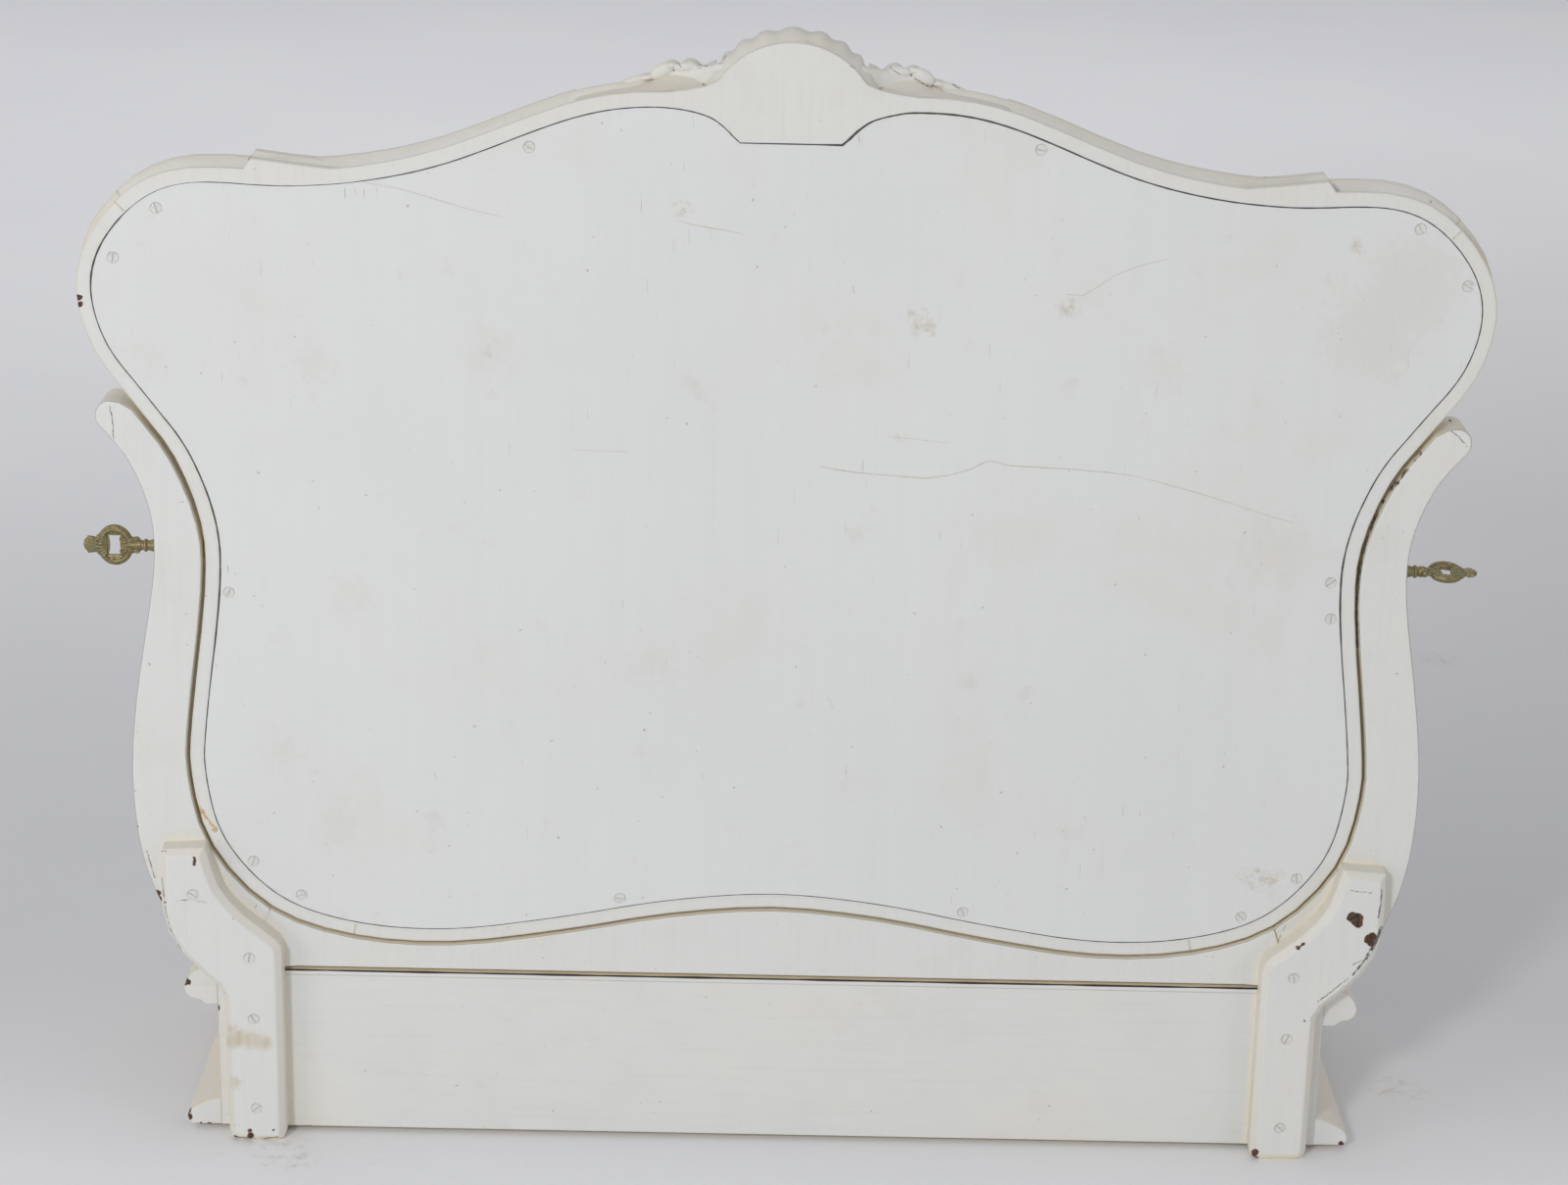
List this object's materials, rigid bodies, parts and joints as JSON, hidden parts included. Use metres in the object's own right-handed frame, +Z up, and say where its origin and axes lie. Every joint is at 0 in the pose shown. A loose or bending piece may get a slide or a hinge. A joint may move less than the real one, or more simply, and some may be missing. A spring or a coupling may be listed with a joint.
{
  "type": "tabletop vanity",
  "caption": "Low serpentine-front drawer case with a shaped mirror that tilts between the arms of a scrolled harp on pierced turn keys.",
  "frame": {"origin": "On the table under the case, centred on its width and on the depth between its back board and its front corners.", "axes": "+X to the right for someone who faces the mirror, -Y out of the front, +Z up."},
  "size_m": [1.0074, 0.296, 0.8425],
  "materials": {
    "frame_paint": "aged warm white paint over brown wood, brushed, chipped at the edges",
    "panel_paint": "thin cooler white paint with the grain showing through",
    "bare_wood": "unfinished, darkened with age",
    "mirror_glass": "silvered glass",
    "brass": "tarnished",
    "screw_steel": "slotted steel screws painted over with the wood"
  },
  "bodies": {
    "stand": {"base_bottom_board": "bare_wood", "base_top_board": "frame_paint", "base_back_board": "frame_paint", "base_left_side": "frame_paint", "base_right_side": "frame_paint", "left_divider": "bare_wood", "right_divider": "bare_wood", "top_moulding_front": "frame_paint", "top_moulding_left": "frame_paint", "top_moulding_right": "frame_paint", "bottom_moulding_front": "frame_paint", "bottom_moulding_left": "frame_paint", "bottom_moulding_right": "frame_paint", "harp_lower_rail": "frame_paint", "harp_left_arm": "frame_paint", "harp_right_arm": "frame_paint", "left_brace": "frame_paint", "right_brace": "frame_paint", "brace_screws": "screw_steel", "left_pivot_bush": "brass", "right_pivot_bush": "brass"},
    "mirror": {"mirror_top_rail": "frame_paint", "mirror_left_stile": "frame_paint", "mirror_right_stile": "frame_paint", "mirror_bottom_rail": "frame_paint", "crest_shell": "frame_paint", "left_leaf_spray": "frame_paint", "right_leaf_spray": "frame_paint", "mirror_glass": "mirror_glass", "mirror_back_panel": "panel_paint", "panel_screws": "screw_steel", "left_insert": "brass", "right_insert": "brass"},
    "left_key": {"left_pivot_key": "brass"},
    "right_key": {"right_pivot_key": "brass"},
    "left_drawer": {"left_drawer_front": "frame_paint", "left_drawer_left_side": "bare_wood", "left_drawer_right_side": "bare_wood", "left_drawer_back": "bare_wood", "left_drawer_bottom": "bare_wood", "left_drawer_knob": "brass"},
    "middle_drawer": {"middle_drawer_front": "frame_paint", "middle_drawer_left_side": "bare_wood", "middle_drawer_right_side": "bare_wood", "middle_drawer_back": "bare_wood", "middle_drawer_bottom": "bare_wood", "middle_drawer_knob": "brass"},
    "right_drawer": {"right_drawer_front": "frame_paint", "right_drawer_left_side": "bare_wood", "right_drawer_right_side": "bare_wood", "right_drawer_back": "bare_wood", "right_drawer_bottom": "bare_wood", "right_drawer_knob": "brass"}
  },
  "joints": [
    {"name": "mirror_tilt", "type": "hinge", "parent": "stand", "child": "mirror", "pos_m": [0, 0.0985, 0.46], "axis": [1, 0, 0], "range_deg": [-20, 12]},
    {"name": "left_key_turn", "type": "hinge", "parent": "stand", "child": "left_key", "pos_m": [-0.45, 0.0985, 0.46], "axis": [1, 0, 0], "continuous": true},
    {"name": "right_key_turn", "type": "hinge", "parent": "stand", "child": "right_key", "pos_m": [0.45, 0.0985, 0.46], "axis": [1, 0, 0], "continuous": true},
    {"name": "left_drawer_slide", "type": "slide", "parent": "stand", "child": "left_drawer", "axis": [0, -1, 0], "range_m": [0, 0.15]},
    {"name": "middle_drawer_slide", "type": "slide", "parent": "stand", "child": "middle_drawer", "axis": [0, -1, 0], "range_m": [0, 0.15]},
    {"name": "right_drawer_slide", "type": "slide", "parent": "stand", "child": "right_drawer", "axis": [0, -1, 0], "range_m": [0, 0.15]}
  ]
}
